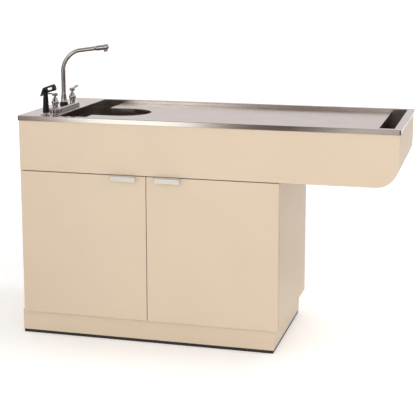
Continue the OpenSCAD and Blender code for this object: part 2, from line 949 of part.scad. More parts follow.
module spout() {
    color(chrome) place() difference() {
        union() {
            spout_run(spout_r, 0);
            translate([faucet_x, faucet_y, plate_z + ring_h]) rotate_extrude()
                polygon([[0, 0], [cone_r, 0], [cone_r, cone_foot], [spout_r + 0.5, cone_h],
                    [0, cone_h]]);
        }
        spout_run(spout_r - spout_wall, cut);
    }
}

// Places a piece on the end of the arm, with Z along the arm
module at_arm_end() {
    at_bend() translate([spout_bend_r, -spout_arm, 0]) rotate([90, 0, 0]) children();
}

// Swelling end of the spout, with the seat of the outlet on its underside
nozzle_bore = 4;
nozzle_neck = 8;
outlet_in = 14;

module nozzle() {
    color(chrome) place() at_arm_end() difference() {
        rotate_extrude() polygon([[0, 0], [spout_r, 0], [nozzle_r - 1.5, nozzle_neck],
            [nozzle_r - 1, nozzle_l - outlet_in - 2], [nozzle_r, nozzle_l - outlet_in],
            [nozzle_r, nozzle_l - 4],
            [nozzle_r - 4, nozzle_l], [0, nozzle_l]]);
        translate([0, 0, -cut]) cylinder(r = nozzle_bore, h = nozzle_l - outlet_in + cut);
        translate([0, 0, nozzle_l - outlet_in]) rotate([0, -90, 0])
            cylinder(r = aerator_r, h = nozzle_r + 4);
    }
}

aerator_r = 8.4;
aerator_l = 19;
aerator_wall = 2.4;

// Outlet nozzle that points down from the end of the spout
module aerator() {
    color(chrome) place() at_arm_end() translate([0, 0, nozzle_l - outlet_in])
        rotate([0, -90, 0]) difference() {
            cylinder(r = aerator_r, h = aerator_l);
            translate([0, 0, nozzle_bore]) cylinder(r = aerator_r - aerator_wall, h = aerator_l);
        }
}

// Nuts that hold the shanks and the sprayer's holder under the deck
deck_nut_wall = 6;

module deck_nut(y, bore) {
    translate([faucet_x, y, deck_z - nut_h]) difference() {
        cylinder(r = bore + deck_nut_wall, h = nut_h, $fn = 6);
        translate([0, 0, -cut]) cylinder(r = bore + run, h = nut_h + 2 * cut);
    }
}

module deck_nuts() {
    color(steel) place() {
        deck_nut(hot_y, shank_r);
        deck_nut(cold_y, shank_r);
        deck_nut(sprayer_y, sleeve_r);
    }
}

// Sprayer's holder: flange and collar on the deck, sleeve through it
sleeve_l = 40;

module sprayer_holder() {
    color(chrome) place() translate([faucet_x, sprayer_y, top_h]) rotate_extrude() polygon([
        [nose_r + run, -sleeve_l], [sleeve_r, -sleeve_l], [sleeve_r, 0], [holder_r, 0],
        [holder_r, 2], [holder_r - 3, 4], [sleeve_r + 2.5, 5], [sleeve_r + 1, collar_h],
        [nose_r + run, collar_h]]);
}

// Head of the sprayer, swelling from the handle to the spray face
face_h = 5;

module head_shape(grow) {
    hull() {
        sphere(head_r + grow, $fn = 32);
        rotate([0, 90 - head_slope, 0]) translate([0, 0, head_l / cos(head_slope) - face_h])
            cylinder(r = head_r + 1 + grow, h = face_h, $fn = 32);
    }
}

grip_foot = 6;
grip_neck = 76;
nose_l = 34;
pivot_r = 1.3;
slot_low = 12;
slot_in = 5;
// Slope in the back of the grip that makes room for the pressed lever
slot_top_r = 6.4;
slot_foot_r = 10.3;
slot_foot = 26;

module sprayer_body() {
    slot_w = lever_w + 2 * run;
    color(black) place() translate([faucet_x, sprayer_y, top_h]) {
        difference() {
            union() {
                rotate_extrude() polygon([[0, collar_h - nose_l], [nose_r - 1, collar_h - nose_l],
                    [nose_r, collar_h - nose_l + 1], [nose_r, collar_h], [grip_r, collar_h],
                    [grip_r, collar_h + grip_foot], [grip_top_r, collar_h + grip_neck],
                    [grip_top_r, head_up], [0, head_up]]);
                translate([0, 0, head_up]) head_shape(0);
            }
            translate([0, slot_w / 2, head_up]) rotate([90, 0, 0]) linear_extrude(slot_w)
                polygon([[-2 * head_r, 2 * head_r], [pivot_x + slot_in, 2 * head_r],
                    [pivot_x + slot_in, -slot_low], [-slot_top_r, -slot_low],
                    [-slot_foot_r, -slot_foot], [-2 * head_r, -slot_foot]]);
        }
        translate([pivot_x, -slot_w / 2 - 1, head_up + pivot_up]) rotate([-90, 0, 0])
            cylinder(r = pivot_r, h = slot_w + 2);
    }
}

// Light inlay on the front side of the head
panel_l = 18;
panel_h = 9;
panel_t = 0.8;
panel_end = 6;

module sprayer_panel() {
    color(white) place() translate([faucet_x, sprayer_y, top_h + head_up]) difference() {
        intersection() {
            head_shape(panel_t);
            rotate([0, -head_slope, 0])
                translate([head_l - panel_l - panel_end, -2 * head_r, -panel_h / 2])
                    cube([panel_l, 2 * head_r, panel_h]);
        }
        head_shape(0);
    }
}

// Thumb lever on its pin at the back of the head
thumb_end = [-18, -23];
thumb_r = 4;

module sprayer_lever() {
    color(black) place() translate([faucet_x, sprayer_y + lever_w / 2, top_h + head_up])
        rotate([90, 0, 0]) linear_extrude(lever_w) difference() {
            hull() {
                translate([pivot_x, pivot_up]) circle(thumb_r, $fn = 32);
                translate(thumb_end) circle(thumb_r - 1, $fn = 32);
            }
            translate([pivot_x, pivot_up]) circle(pivot_r + run);
        }
}

side_left();
side_right();
cabinet_floor();
cabinet_back();
rail_front();
rail_back();
shelf();
shelf_cleats();
plinth_front();
plinth_back();
plinth_end_left();
plinth_end_right();
strips_front();
strip_back();
strips_end();
left_door();
right_door();
left_pull();
right_pull();
left_hinge_cups();
right_hinge_cups();
left_hinge_arms();
right_hinge_arms();
door_catches();
apron_front();
apron_back();
apron_left();
apron_end();
apron_bottom();
brace_cabinet();
brace_overhang();
top_rim();
tub_sides();
tub_ends();
tub_sump();
tub_slope();
insert_ledges();
insert_pan();
channel_front();
channel_back();
strainer_body();
strainer_nut();
strainer_basket();
tailpiece();
trap();
waste_nuts();
faucet_plate();
hot_valve();
cold_valve();
hot_handle();
cold_handle();
spout_ring();
spout();
nozzle();
aerator();
deck_nuts();
sprayer_holder();
sprayer_body();
sprayer_panel();
sprayer_lever();
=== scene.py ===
"""Veterinary wet table: finishes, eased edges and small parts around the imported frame.

The boards are faced with beige laminate, the top is brushed stainless steel, and the faucet is
polished chrome. Each operator dresses one piece or a group of like pieces; the stage operator
adds a pale floor, soft studio light and the camera. Lengths are in metres.
"""
import json
import math

import bmesh
import bpy
from mathutils import Matrix, Vector


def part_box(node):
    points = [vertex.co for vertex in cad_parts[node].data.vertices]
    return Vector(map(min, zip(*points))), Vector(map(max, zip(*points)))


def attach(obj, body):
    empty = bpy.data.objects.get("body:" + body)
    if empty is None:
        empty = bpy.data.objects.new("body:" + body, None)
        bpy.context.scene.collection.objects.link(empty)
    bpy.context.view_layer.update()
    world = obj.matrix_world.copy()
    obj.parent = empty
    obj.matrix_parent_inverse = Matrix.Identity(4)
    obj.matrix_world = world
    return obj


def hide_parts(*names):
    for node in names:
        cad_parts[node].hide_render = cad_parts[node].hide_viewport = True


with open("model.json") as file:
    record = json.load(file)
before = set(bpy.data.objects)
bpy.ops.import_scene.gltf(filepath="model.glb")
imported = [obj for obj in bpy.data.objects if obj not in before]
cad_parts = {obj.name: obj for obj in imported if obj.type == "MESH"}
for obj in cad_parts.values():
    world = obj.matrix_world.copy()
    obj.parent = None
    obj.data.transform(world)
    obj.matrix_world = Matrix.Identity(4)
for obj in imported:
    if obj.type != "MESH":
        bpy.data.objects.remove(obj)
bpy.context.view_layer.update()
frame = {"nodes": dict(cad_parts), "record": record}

bl_info = {
    "name": "Wet Table",
    "version": (1, 0, 0),
    "blender": (4, 5, 0),
    "location": "View3D > Sidebar > Wet Table",
    "description": "Dresses the frame of a veterinary wet table with its finishes and small parts",
    "category": "Object",
}

MM = 0.001
# Vertices closer than this are one point
WELD = 0.00001
# Faces that meet at more than this angle form an edge
EDGE_ANGLE = math.radians(35)
# Faces that meet at less than this angle are one flat face
FLAT_ANGLE = math.radians(0.3)
ROUND_STEPS = 64


def linear(hex_code):
    """Linear colour of an sRGB hex value such as "E7D3B4"."""
    parts = [int(hex_code[i:i + 2], 16) / 255 for i in (0, 2, 4)]
    return tuple(c / 12.92 if c <= 0.04045 else ((c + 0.055) / 1.055) ** 2.4 for c in parts)


def per(mm):
    """Texture scale at which one grain of a pattern is that many millimetres."""
    return 1000 / mm


def colour_property(name, description, hex_code):
    """A colour that the user can change, with its sRGB default."""
    return bpy.props.FloatVectorProperty(name=name, description=description, subtype="COLOR",
                                         size=3, min=0, max=1, default=linear(hex_code))


def length_property(name, description, metres):
    """A length that the user can change."""
    return bpy.props.FloatProperty(name=name, description=description, default=metres, min=0,
                                   subtype="DISTANCE", unit="LENGTH", precision=5)


class WetTableColours(bpy.types.PropertyGroup):
    laminate: colour_property("Laminate", "Beige laminate of the boards", "C9B69F")
    steel: colour_property("Stainless steel", "Brushed sheet of the top, tub and insert", "CFC5C1")
    shaded_tub_steel: colour_property("Shaded tub steel", "Sheet inside the tub, darkened as painted shade", "A89C98")
    steel_glance: colour_property("Steel at a flat angle", "Tint of the sheet seen along it",
                                  "E6E1E0")
    chrome: colour_property("Chrome", "Plating of the faucet and drain", "C0BBBB")
    aluminium: colour_property("Aluminium", "Anodised strip of the door pulls", "F0ECE8")
    nickel: colour_property("Nickel", "Plating of the hinges and nuts", "C4BEB4")
    black_plastic: colour_property("Black plastic", "Sprayer, its lever and the spout's ring",
                                   "0B0809")
    white_plastic: colour_property("White plastic", "Light panel of the sprayer, catches and slip nuts", "E9E6E1")
    strip: colour_property("Base strip", "Black strip along the floor under the plinth", "1E1A19")
    floor: colour_property("Floor", "Pale floor of the stage", "F7F6F5")


class WetTableSizes(bpy.types.PropertyGroup):
    board_edge: length_property("Board edge", "Easing of the laminate boards' edges", 0.6 * MM)
    sheet_edge: length_property("Sheet edge", "Easing of the steel sheet's cut edges", 0.35 * MM)
    bend_radius: length_property("Bend radius", "Outside radius of the bends in the sheet",
                                 2.4 * MM)
    fitting_edge: length_property("Fitting edge", "Easing of chromed and moulded edges", 0.5 * MM)
    screw_head: length_property("Screw head", "Diameter of the hinge screws' heads", 7.5 * MM)


def colours():
    """The colours as the user has set them."""
    return bpy.context.scene.wet_table_colours


def sizes():
    """The sizes as the user has set them."""
    return bpy.context.scene.wet_table_sizes


# Materials

def add_node(tree, kind, inputs=None, **settings):
    """Adds a shader node. Inputs are numbers, colours or the output sockets to link from."""
    made = tree.nodes.new("ShaderNode" + kind)
    for name, value in settings.items():
        setattr(made, name, value)
    for name, value in (inputs or {}).items():
        if isinstance(value, bpy.types.NodeSocket):
            tree.links.new(value, made.inputs[name])
        else:
            made.inputs[name].default_value = value
    return made


def new_material(name, **values):
    """A material with its shader, the shader's fixed values and the object's own coordinates."""
    made = bpy.data.materials.new(name)
    made.use_nodes = True
    tree = made.node_tree
    shader = tree.nodes["Principled BSDF"]
    for socket, value in values.items():
        shader.inputs[socket.replace("_", " ")].default_value = value
    place = add_node(tree, "TexCoord").outputs["Object"]
    return made, tree, shader, place


def shade(colour, factor):
    """The colour, lighter or darker, with its alpha."""
    return tuple(min(1, c * factor) for c in colour) + (1,)


def laminate():
    """High-pressure laminate with a fine suede texture: an even colour under a satin sheen."""
    made, tree, shader, place = new_material("Beige laminate pressed on board", IOR=1.5)
    base = colours().laminate
    cloud = add_node(tree, "TexNoise", {"Vector": place, "Scale": per(220), "Detail": 3})
    tint = add_node(tree, "MapRange", {"Value": cloud.outputs["Fac"], "From Min": 0.35,
                                       "From Max": 0.65})
    mix = add_node(tree, "Mix", {"Factor": tint.outputs["Result"], "A": shade(base, 0.975),
                                 "B": shade(base, 1)}, data_type="RGBA")
    tree.links.new(mix.outputs["Result"], shader.inputs["Base Color"])
    # The pressed texture has grains of about 0.5 mm; it is drawn at 1.2 mm so that it shows
    suede = add_node(tree, "TexNoise", {"Vector": place, "Scale": per(1.2), "Detail": 4,
                                        "Roughness": 0.7})
    sheen = add_node(tree, "MapRange", {"Value": suede.outputs["Fac"], "From Min": 0.3,
                                        "From Max": 0.7, "To Min": 0.38, "To Max": 0.47})
    tree.links.new(sheen.outputs["Result"], shader.inputs["Roughness"])
    bump = add_node(tree, "Bump", {"Height": suede.outputs["Fac"], "Strength": 0.12,
                                   "Distance": 0.1 * MM})
    tree.links.new(bump.outputs["Normal"], shader.inputs["Normal"])
    return made


# Height over the floor of the lip of the tub, which the insert leaves in sight, how far the
# polish fades on each side of it, and its roughness
TUB_LIP = 0.884
LIP_FADE = 2 * MM
LIP_ROUGHNESS = 0.2


def sheet_steel(name, base, low, high, along, lip=None):
    """Stainless sheet: fine scratches along X stretch each reflection across them.

    Low and high are the roughness of its brightest and dullest places. Above the height of a
    lip, if there is one, it was polished with the top and takes the top's colour; below it, the
    tub's darker base colour is painted shade.
    """
    made, tree, shader, place = new_material(name, Metallic=1, Anisotropic=along)
    shader.inputs["Specular Tint"].default_value = shade(colours().steel_glance, 1)
    across = add_node(tree, "Tangent", direction_type="RADIAL", axis="X")
    tree.links.new(across.outputs["Tangent"], shader.inputs["Tangent"])
    # The real scratches are about 0.2 mm wide; they are drawn 2 mm wide so that they show
    stretch = add_node(tree, "Mapping", {"Vector": place, "Scale": (per(150), per(2), per(2))})
    scratch = add_node(tree, "TexNoise", {"Vector": stretch.outputs["Vector"], "Scale": 1,
                                          "Detail": 5, "Roughness": 0.65})
    wiped = add_node(tree, "TexNoise", {"Vector": place, "Scale": per(90), "Detail": 4})
    mix = add_node(tree, "Mix", {"Factor": scratch.outputs["Fac"], "A": shade(base, 0.95),
                                 "B": shade(base, 1.03)}, data_type="RGBA")
    dull = add_node(tree, "Math", {0: scratch.outputs["Fac"], 1: wiped.outputs["Fac"]},
                    operation="MULTIPLY")
    rough = add_node(tree, "MapRange", {"Value": dull.outputs["Value"], "From Min": 0.1,
                                        "From Max": 0.45, "To Min": low, "To Max": high})
    tint, roughness = mix.outputs["Result"], rough.outputs["Result"]
    if lip:
        height = add_node(tree, "SeparateXYZ", {"Vector": place}).outputs["Z"]
        share = add_node(tree, "MapRange", {"Value": height, "From Min": lip - LIP_FADE,
                                            "From Max": lip + LIP_FADE}).outputs["Result"]
        roughness = add_node(tree, "Mix", {"Factor": share, "A": roughness,
                                           "B": LIP_ROUGHNESS}).outputs["Result"]
        tint = add_node(tree, "Mix", {"Factor": share, "A": tint, "B": shade(colours().steel, 1)},
                        data_type="RGBA").outputs["Result"]
    tree.links.new(tint, shader.inputs["Base Color"])
    tree.links.new(roughness, shader.inputs["Roughness"])
    bump = add_node(tree, "Bump", {"Height": scratch.outputs["Fac"], "Strength": 0.06,
                                   "Distance": 0.05 * MM})
    tree.links.new(bump.outputs["Normal"], shader.inputs["Normal"])
    return made


def stainless():
    """Brushed along its length and bright: the top, its rim and the insert."""
    return sheet_steel("Stainless steel sheet, brushed", colours().steel,
                       low=0.11, high=0.16, along=0.9)


def shaded_mill_stainless():
    """As it left the mill, and rougher from wet use, with a darker colour that is painted shade:
    the inside of the tub, below its lip.
    """
    # The tub's colour is darker than the top's as painted shade of the deep tub
    return sheet_steel("Stainless steel sheet, mill finish, painted shade", colours().shaded_tub_steel,
                       low=0.26, high=0.36, along=0.3, lip=TUB_LIP)


def plated(name, base, low, high, spot_mm):
    """Plated metal, polished: near-mirror, with faint water marks that dull it here and there."""
    made, tree, shader, place = new_material(name, Metallic=1)
    marks = add_node(tree, "TexNoise", {"Vector": place, "Scale": per(spot_mm), "Detail": 5,
                                        "Roughness": 0.6})
    rough = add_node(tree, "MapRange", {"Value": marks.outputs["Fac"], "From Min": 0.35,
                                        "From Max": 0.7, "To Min": low, "To Max": high})
    tree.links.new(rough.outputs["Result"], shader.inputs["Roughness"])
    mix = add_node(tree, "Mix", {"Factor": marks.outputs["Fac"], "A": shade(base, 1),
                                 "B": shade(base, 0.93)}, data_type="RGBA")
    tree.links.new(mix.outputs["Result"], shader.inputs["Base Color"])
    return made


def chrome():
    """Chrome plating on brass."""
    return plated("Chrome plating on brass, polished", colours().chrome,
                  low=0.04, high=0.12, spot_mm=14)


def nickel():
    """Bright nickel plating on pressed steel."""
    return plated("Nickel plating on steel", colours().nickel, low=0.2, high=0.34, spot_mm=6)


def anodised():
    """Anodised aluminium, drawn and satin: fine lines along the strip."""
    made, tree, shader, place = new_material("Aluminium strip, satin anodised", Metallic=1)
    base = colours().aluminium
    stretch = add_node(tree, "Mapping", {"Vector": place, "Scale": (per(30), per(0.4), per(0.4))})
    lines = add_node(tree, "TexNoise", {"Vector": stretch.outputs["Vector"], "Scale": 1,
                                        "Detail": 4})
    mix = add_node(tree, "Mix", {"Factor": lines.outputs["Fac"], "A": shade(base, 0.93),
                                 "B": shade(base, 1.03)}, data_type="RGBA")
    tree.links.new(mix.outputs["Result"], shader.inputs["Base Color"])
    rough = add_node(tree, "MapRange", {"Value": lines.outputs["Fac"], "To Min": 0.32,
                                        "To Max": 0.5})
    tree.links.new(rough.outputs["Result"], shader.inputs["Roughness"])
    bump = add_node(tree, "Bump", {"Height": lines.outputs["Fac"], "Strength": 0.08,
                                   "Distance": 0.03 * MM})
    tree.links.new(bump.outputs["Normal"], shader.inputs["Normal"])
    return made


def moulded(name, base, low, high, ior, grain_mm):
    """Moulded plastic: a faint orange peel under its gloss, and dull where least polished."""
    made, tree, shader, place = new_material(name, IOR=ior)
    peel = add_node(tree, "TexNoise", {"Vector": place, "Scale": per(grain_mm), "Detail": 3})
    rough = add_node(tree, "MapRange", {"Value": peel.outputs["Fac"], "From Min": 0.3,
                                        "From Max": 0.7, "To Min": low, "To Max": high})
    tree.links.new(rough.outputs["Result"], shader.inputs["Roughness"])
    mix = add_node(tree, "Mix", {"Factor": peel.outputs["Fac"], "A": shade(base, 0.92),
                                 "B": shade(base, 1.05)}, data_type="RGBA")
    tree.links.new(mix.outputs["Result"], shader.inputs["Base Color"])
    bump = add_node(tree, "Bump", {"Height": peel.outputs["Fac"], "Strength": 0.05,
                                   "Distance": 0.1 * MM})
    tree.links.new(bump.outputs["Normal"], shader.inputs["Normal"])
    return made


def black_abs():
    """Black ABS, moulded and glossy."""
    return moulded("ABS, moulded black", colours().black_plastic,
                   low=0.16, high=0.26, ior=1.42, grain_mm=5)


def white_nylon():
    """White nylon, moulded and satin."""
    return moulded("Nylon, moulded white", colours().white_plastic,
                   low=0.36, high=0.5, ior=1.53, grain_mm=3)


def matt_black_strip():
    """Black strip under the plinth, matt."""
    return moulded("Black strip, matt", colours().strip,
                   low=0.55, high=0.7, ior=1.5, grain_mm=8)


FINISHES = {
    "laminate": laminate,
    "base_strip": matt_black_strip,
    "aluminium": anodised,
    "nickel_steel": nickel,
    "stainless": stainless,
    "tub": shaded_mill_stainless,
    "chrome": chrome,
    "black_plastic": black_abs,
    "white_plastic": white_nylon,
}
made_finishes = {}


def finish_of(slot):
    """The material of a slot of the record, made once."""
    if slot not in made_finishes:
        made_finishes[slot] = FINISHES[slot]()
    return made_finishes[slot]


def slot_of(node):
    """The material slot that the record gives a node."""
    return next(s["material_slot"] for s in frame["record"]["subparts"] if s["node"] == node)


def body_of(node):
    """The body that a node rides on."""
    return next(b for b, nodes in frame["record"]["behaviour"]["bodies"].items() if node in nodes)


# Shapes

# Steps round a small piece, and in a rounded corner of a profile
SHORT_STEPS = 16
CORNER_STEPS = 3
# The largest share of a side that one rounded corner takes
CORNER_SHARE = 0.45

# How near to the rim's outer edge its outer bend lies, how far off its inner one, and how much
# wider than a cut edge the inner one is; edges that climb more than this are upright
OUTER_BEND = 2 * MM
INNER_BEND = 5 * MM
INNER_BEND_WIDTH = 2.6
UPRIGHT = 5 * MM
# Points less than this apart in height are level
LEVEL = 0.1 * MM

# Easing of fittings, as a share of the fitting edge
THIN_EDGE = 0.6
SLIP_NUT_EDGE = 0.8
PULL_EDGE = 1.6
THUMB_EDGE = 2

# Heights of the two hinges, distance between the screws of a cup and of a plate, how far the
# cup's screws stand in from its flange's end, height of the plate's face over the cabinet's
# side, and where its screws stand along Y
HINGE_HEIGHTS = (0.194, 0.5935)
CUP_SCREWS = 44 * MM
PLATE_SCREWS = 32 * MM
CUP_WING = 6 * MM
PLATE_FACE = 2.5 * MM
PLATE_ROW = -0.233
# The pull's screws, as shares of its length, and their height over its lower edge
PULL_SCREWS = (0.15, 0.85)
PULL_SCREW_H = 8 * MM
# Screw head, as shares of its radius: radius and height of its dome's rings, half width and
# reach of the cross, and heights of the cross's top and floor
SCREW_DOME = ((1, 0), (1, 0.12), (0.86, 0.38), (0.62, 0.5))
CROSS_HALF = 0.13
CROSS_REACH = 0.52
CROSS_HEIGHTS = (0.5, 0.2)

# Faucet's base plate: its shoulder, the part of it that slopes, the rounding of its corners and
# the flat on top as a share of its half width; lip, thickness and rounding of its gasket, and
# the gasket's inner edge as such a share
PLATE_SHOULDER = 6 * MM
SHOULDER_SLOPE = 0.3
PLATE_ROUNDING = 2.5 * MM
PLATE_FLAT = 0.4
GASKET_LIP = 0.6 * MM
GASKET_T = 1.4 * MM
GASKET_ROUNDING = 0.4 * MM
GASKET_INNER = 0.9

# Valve: its inlet with a bore and a thread, and its shank
INLET_R = 10.5 * MM
INLET_WALL = 3.5 * MM
INLET_L = 38 * MM
BORE_L = 36 * MM
THREAD_L = 32 * MM
THREAD_END = 34 * MM
THREAD_PITCH = 1.8 * MM
THREAD_DEPTH = 0.7 * MM
# Heights of a thread's lower flank, crest and upper flank, as shares of the pitch
THREAD_RISE = (0.15, 0.5, 0.9)
SHANK_R = 12 * MM
# Its bell, in millimetres: a piece of a ball between two lifts in degrees, with a foot below and
# a neck above, on which the stem stands
BELL_R = 15.5
BELL_MIDDLE = 20
BELL_LIFTS = (-40, 25)
BELL_STEPS = 8
BELL_FOOT = ((11.5, 0), (11.5, 6.5))
BELL_NECK = ((11.6, 33), (8, 40), (5, 40.6))
BELL_ROUNDING = 1 * MM
STEM_R = 5 * MM

# Profiles below are points of radius and height in millimetres. Handle: the hub's profile, and
# the lever's distance from the axis, half width and thickness
HUB = ((0, 0.2), (10, 0.2), (12, 3), (12, 9.6), (11.4, 10.2), (11.4, 10.8), (10, 13), (5, 13.8),
       (0, 14))
LEVER = ((2, 6.4, 7), (10, 6.8, 7), (22, 6.6, 6.8), (36, 7, 6.8), (48, 7.8, 7), (54, 8, 7),
         (57.5, 7.3, 6.8), (60, 5.7, 6), (61.4, 3.6, 4.6), (62, 1.4, 2.4))
HUB_ROUNDING = 1.2 * MM
LEVER_FOOT = 4 * MM
LEVER_RISE = math.radians(9)
LEVER_MIDDLE = 3.5
BLADE_STEPS = 32
# Power that makes the lever's section squarer than an ellipse
BLADE_SQUARE = 0.4

# Spout: the axis stands where the ring does
SPOUT_R = 9 * MM
RISER_TOP = 1.07
BEND_R = 0.09
BEND_STEPS = 40
ARM_RISE = math.radians(8)
ARM_L = 0.065
# The spout clears the floor of its ring by a little, and its cone the ring's top
RING_FLOOR = 2.2 * MM
OUTLET_AT = 46 * MM
RING = ((0, 0), (17.5, 0), (17.5, 3.6), (17, 4.2), (17, 4.8), (17.5, 5.4), (17.5, 9), (9.3, 9),
        (9.3, 2), (0, 2))
RING_ROUNDING = 0.8 * MM
CONE = ((0, 0.2), (13.5, 0.2), (13.5, 3.6), (12.6, 6), (11.6, 14), (10.8, 24), (10.2, 34),
        (9.6, 38.6), (9.05, 40), (0, 40))
NOZZLE = ((0, -0.6), (8.8, -0.6), (9.2, 0), (10.3, 7.4), (10.8, 9), (11, 26), (11, 41.6),
          (10.4, 42.4), (10.4, 43.6), (12, 45), (12, 55.6), (10.4, 58.4), (7, 59.8), (0, 60))
NOZZLE_ROUNDING = 1 * MM
AERATOR = ((0, 0), (8.4, 0), (8.4, 13.2), (7.9, 13.6), (7.9, 14.4), (8.4, 14.8), (8.4, 18.4),
           (7.8, 19), (6.3, 19), (6, 18.4), (6, 5), (0, 5))
AERATOR_ROUNDING = 0.4 * MM
SCREEN = ((0, 16.4), (6, 16.4), (6, 17.4), (5, 17), (4, 17.4), (3, 17), (2, 17.4), (1, 17),
          (0, 17.4))

# Sprayer: the holder's profile hangs from its collar's top
HOLDER = ((12, -24), (12, 0), (14.6, 0), (15.2, -1.2), (16.4, -3), (20.5, -4), (23.5, -6.2),
          (23.5, -8), (14, -8), (14, -48), (12, -48), (12, -24))
HOLDER_ROUNDING = 0.5 * MM
HEAD_MIDDLE = 1.013
HEAD_RISE = math.radians(17)
HEAD_L = 42.9 * MM
SPRAY_FACE = ((0, -0.6), (11.6, -0.6), (11.6, 0.9), (10.2, 0.9), (9.4, 0.3), (0, 0.3))
FACE_ROUNDING = 0.3 * MM
JET = ((0, 0), (0.9, 0), (0.7, 1), (0.4, 1), (0.3, 0.4), (0, 0.4))
# Number of jets in each ring, and the ring's radius
JET_RINGS = ((5, 3 * MM), (11, 6.5 * MM))


def dress(piece, node, replaced=True, slot=None, finish=None):
    """Gives a piece its finish and lets it ride with a node, in the node's place or on it."""
    slot = slot or slot_of(node)
    piece.data.materials.clear()
    piece.data.materials.append(finish_of(finish or slot))
    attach(piece, body_of(node))
    if replaced:
        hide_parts(node)


def piece_from(name, mesh):
    """Object made of a bmesh, smooth but for its real edges."""
    bmesh.ops.recalc_face_normals(mesh, faces=mesh.faces)
    data = bpy.data.meshes.new(name)
    for face in mesh.faces:
        face.smooth = True
    mesh.to_mesh(data)
    mesh.free()
    data.set_sharp_from_angle(angle=EDGE_ANGLE)
    made = bpy.data.objects.new(name, data)
    bpy.context.scene.collection.objects.link(made)
    even = made.modifiers.new("Even shading", "WEIGHTED_NORMAL")
    even.keep_sharp = True
    return made


def everywhere(edge):
    """Chooses every edge."""
    return True


def softened(node, *bevels, finish=None):
    """Replaces a node by its form with whole flat faces and eased edges.

    Each bevel says which edges, the width and the steps.
    """
    mesh = bmesh.new()
    mesh.from_mesh(frame["nodes"][node].data)
    bmesh.ops.remove_doubles(mesh, verts=mesh.verts, dist=WELD)
    bmesh.ops.dissolve_limit(mesh, angle_limit=FLAT_ANGLE, verts=mesh.verts, edges=mesh.edges)
    for chosen, width, steps in bevels:
        edges = [e for e in mesh.edges
                 if e.is_manifold and e.calc_face_angle() > EDGE_ANGLE and chosen(e)]
        bmesh.ops.bevel(mesh, geom=edges, offset=width, offset_type="OFFSET", segments=steps,
                        profile=0.5, affect="EDGES", clamp_overlap=True)
    dress(piece_from(node + "_made", mesh), node, finish=finish)


def soften_boards(slot):
    """Eases the edges of each node of a material slot."""
    for part in frame["record"]["subparts"]:
        if part["material_slot"] == slot:
            softened(part["node"], (everywhere, sizes().board_edge, 2))


def mm(points):
    """Points of a profile, from millimetres."""
    return [tuple(c * MM for c in point) for point in points]


def rounded(points, radius):
    """A profile with its inner corners rounded; the rounding shrinks where a side is short."""
    points = [Vector(p) for p in points]
    made = [points[0]]
    for before, corner, after in zip(points, points[1:], points[2:]):
        back, ahead = before - corner, after - corner
        reach = min(radius, CORNER_SHARE * back.length, CORNER_SHARE * ahead.length)
        start, end = corner + reach * back.normalized(), corner + reach * ahead.normalized()
        for i in range(CORNER_STEPS + 1):
            t = i / CORNER_STEPS
            made.append((1 - t) ** 2 * start + 2 * t * (1 - t) * corner + t ** 2 * end)
    return made + [points[-1]]


def joined(mesh, rings, closed=False):
    """Faces between rings of vertices. A ring of one vertex is a tip; other ends get a cap."""
    pairs = list(zip(rings, rings[1:]))
    if closed:
        pairs.append((rings[-1], rings[0]))
    for one, two in pairs:
        for i in range(max(len(one), len(two))):
            corners = [one[i % len(one)], one[(i + 1) % len(one)],
                       two[(i + 1) % len(two)], two[i % len(two)]]
            corners = list(dict.fromkeys(corners))
            if len(corners) > 2:
                mesh.faces.new(corners)
    if not closed:
        for ring in (rings[0], rings[-1]):
            if len(ring) > 2:
                mesh.faces.new(ring)


def turned(mesh, profile, place, steps=ROUND_STEPS, closed=False):
    """Adds a form turned round Z from a profile of radius and height."""
    rings = []
    for radius, height in profile[:-1] if closed else profile:
        count = 1 if radius < WELD else steps
        rings.append([mesh.verts.new(place @ Vector((
            radius * math.cos(2 * math.pi * i / steps), radius * math.sin(2 * math.pi * i / steps),
            height))) for i in range(count)])
    joined(mesh, rings, closed)


def turned_piece(node, profile, place, closed=False):
    """Replaces a node by a form turned round Z."""
    mesh = bmesh.new()
    turned(mesh, profile, place, closed=closed)
    dress(piece_from(node + "_made", mesh), node)


def stadium(mesh, profile, half, foot):
    """Adds a form whose plan is a long oval along Y, from a profile of radius and height."""
    rings = []
    for radius, height in profile:
        ring = []
        for i in range(ROUND_STEPS):
            turn = 2 * math.pi * (i + 0.5) / ROUND_STEPS
            y = radius * math.sin(turn) + math.copysign(half, math.sin(turn))
            ring.append(mesh.verts.new((foot[0] + radius * math.cos(turn), foot[1] + y,
                                        foot[2] + height)))
        rings.append(ring)
    joined(mesh, rings)


def swept(mesh, path, radius):
    """Adds a round tube along a path of points and directions in an upright plane along X."""
    across = Vector((0, 1, 0))
    rings = []
    for point, along in path:
        up = along.cross(across)
        ring = []
        for i in range(ROUND_STEPS):
            turn = 2 * math.pi * i / ROUND_STEPS
            ring.append(mesh.verts.new(
                point + radius * (math.cos(turn) * across + math.sin(turn) * up)))
        rings.append(ring)
    joined(mesh, rings)


def pointing(place, direction):
    """A frame at a place whose Z points in a direction."""
    return Matrix.Translation(place) @ direction.to_track_quat("Z", "Y").to_matrix().to_4x4()


def valve_profile(bottom, top):
    """Profile of a valve from its lowest point: threaded inlet, shank, bell and stem."""
    bore, root = INLET_R - INLET_WALL, INLET_R - THREAD_DEPTH
    points = [(0, bottom + BORE_L), (bore, bottom + BORE_L), (bore, bottom)]
    for i in range(int(THREAD_L / THREAD_PITCH)):
        points += [(radius, bottom + THREAD_PITCH * (i + rise))
                   for radius, rise in zip((root, INLET_R, root), THREAD_RISE)]
    points += [(INLET_R, bottom + THREAD_END), (INLET_R, bottom + INLET_L),
               (SHANK_R, bottom + INLET_L), (SHANK_R, 0)]
    low, high = BELL_LIFTS
    ball = []
    for i in range(BELL_STEPS + 1):
        lift = math.radians(low + (high - low) * i / BELL_STEPS)
        ball.append((BELL_R * math.cos(lift), BELL_MIDDLE + BELL_R * math.sin(lift)))
    bell = rounded(mm((*BELL_FOOT, *ball, *BELL_NECK)), BELL_ROUNDING)
    return points + bell + [(STEM_R, top), (0, top)]


